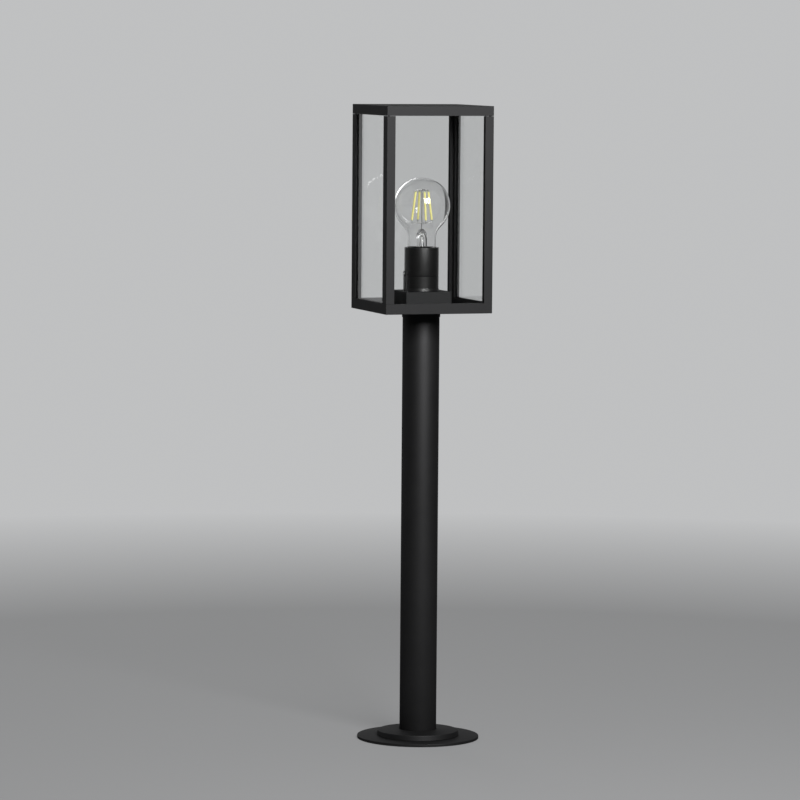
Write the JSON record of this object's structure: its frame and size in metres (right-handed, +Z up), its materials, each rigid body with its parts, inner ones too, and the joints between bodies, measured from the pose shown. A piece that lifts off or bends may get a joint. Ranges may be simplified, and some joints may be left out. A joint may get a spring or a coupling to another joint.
{
  "type": "lantern floor lamp",
  "caption": "Floor lamp with a round foot, a slim round post and a tall square glazed lantern that holds a clear filament bulb upright in its lampholder.",
  "frame": {"origin": "centre of the foot's underside, on the floor", "axes": "+Z up the column, -Y out of the lantern's front pane, -X its left side as seen from the front"},
  "size_m": [0.132, 0.132, 0.687],
  "materials": {
    "black_metal": "satin",
    "turned_metal": "turned",
    "plain_screws": "satin",
    "black_screws": "satin",
    "black_rubber": "matt",
    "pane_glass": "clear",
    "bulb_glass": "clear",
    "holder_plastic": "fine matt",
    "core_ceramic": "glazed",
    "block_plastic": "satin",
    "contact_brass": "satin",
    "lead_brown": "satin",
    "lead_blue": "satin",
    "lead_green": "satin",
    "nickel_cap": "satin",
    "tip_metal": "soft",
    "cap_black": "gloss",
    "lit_yellow": "matt"
  },
  "bodies": {
    "lamp": {"base_plate": "black_metal", "block_screws": "plain_screws", "box_screws": "plain_screws", "cable_clamp": "block_plastic", "cable_grommet": "black_rubber", "centre_contact": "contact_brass", "clamp_screws": "plain_screws", "column": "black_metal", "column_socket": "turned_metal", "earth_screw": "contact_brass", "earth_tag": "contact_brass", "head_set_screws": "black_screws", "head_spigot": "turned_metal", "holder_cap": "holder_plastic", "holder_core": "core_ceramic", "holder_nipple": "plain_screws", "holder_skirt": "holder_plastic", "lantern_tray": "black_metal", "lead_earth": "lead_green", "lead_live": "lead_brown", "lead_neutral": "lead_blue", "lock_screw": "black_screws", "nipple_nut": "plain_screws", "pane_cushions": "black_rubber", "pane_front": "pane_glass", "pane_left": "pane_glass", "pane_rear": "pane_glass", "pane_right": "pane_glass", "post_front_left": "black_metal", "post_front_right": "black_metal", "post_rear_left": "black_metal", "post_rear_right": "black_metal", "post_screws": "plain_screws", "screw_shell": "contact_brass", "socket_screws": "plain_screws", "spigot_screws": "plain_screws", "terminal_block": "block_plastic", "terminal_box": "black_metal", "terminal_screws": "plain_screws", "terminal_tubes": "contact_brass"},
    "cover": {"base_cover": "black_metal"},
    "lid": {"lid_frame": "black_metal", "roof_plate": "black_metal", "roof_screws": "black_screws", "lid_pins": "plain_screws"},
    "bulb_rise": {"bulb_tip": "tip_metal"},
    "bulb": {"bulb_glass": "bulb_glass", "bulb_stem": "bulb_glass", "bulb_cap": "nickel_cap", "bulb_insulator": "cap_black", "led_filaments": "lit_yellow", "filament_wires": "plain_screws"}
  },
  "joints": [
    {"name": "cover_slide", "type": "slide", "parent": "lamp", "child": "cover", "axis": [0, 0, 1], "range_m": [0, 0.4]},
    {"name": "lid_lift", "type": "slide", "parent": "lamp", "child": "lid", "axis": [0, 0, 1], "range_m": [0, 0.15]},
    {"name": "bulb_lift", "type": "slide", "parent": "lamp", "child": "bulb_rise", "axis": [0, 0, 1], "range_m": [0, 0.0275]},
    {"name": "bulb_turn", "type": "hinge", "parent": "bulb_rise", "child": "bulb", "pos_m": [0, 0, 0.5175], "axis": [0, 0, 1], "range_deg": [0, 2700]}
  ],
  "couplings": [
    {"joint": "bulb_lift", "follows": "bulb_turn", "m_per_rad": 0.00057757}
  ]
}
